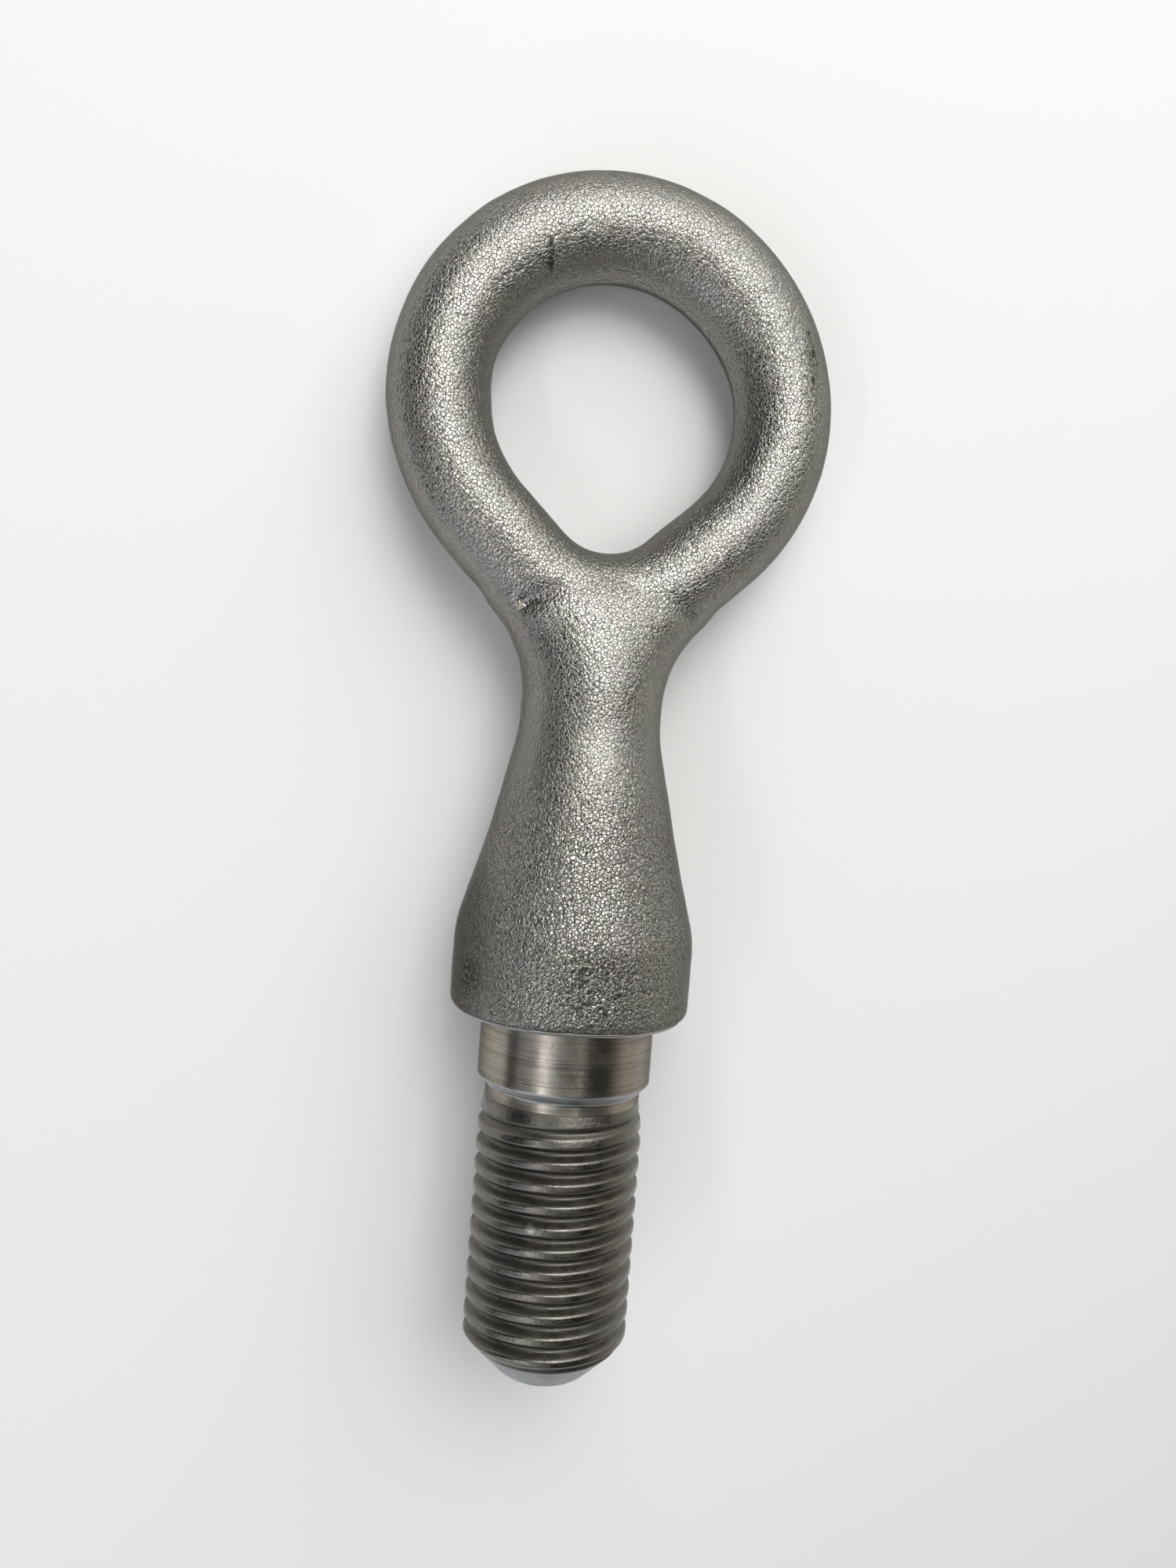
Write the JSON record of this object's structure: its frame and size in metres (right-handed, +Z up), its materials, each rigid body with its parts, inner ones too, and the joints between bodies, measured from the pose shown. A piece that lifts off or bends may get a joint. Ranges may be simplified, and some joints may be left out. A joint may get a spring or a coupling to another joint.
{
  "type": "towing eye",
  "caption": "Forged screw-in towing eye: a teardrop ring on a forked neck that flares to a round shoulder, with a turned pilot collar and a coarse rolled thread below.",
  "frame": {"origin": "centre of the bounding box's base, on the surface the eye lies on", "axes": "+Y along the screw axis towards the ring, which dips 5.7 degrees from the shoulder to the ring's far end; +Z up, out of the ring's upper face; X across the ring"},
  "size_m": [0.0632, 0.1701, 0.0346],
  "materials": {
    "plated_steel": "zinc-plated drop forging with a grainy skin, bright turned collar and tip, dull rolled thread"
  },
  "bodies": {
    "root": {"towing_eye": "plated_steel"}
  },
  "joints": []
}
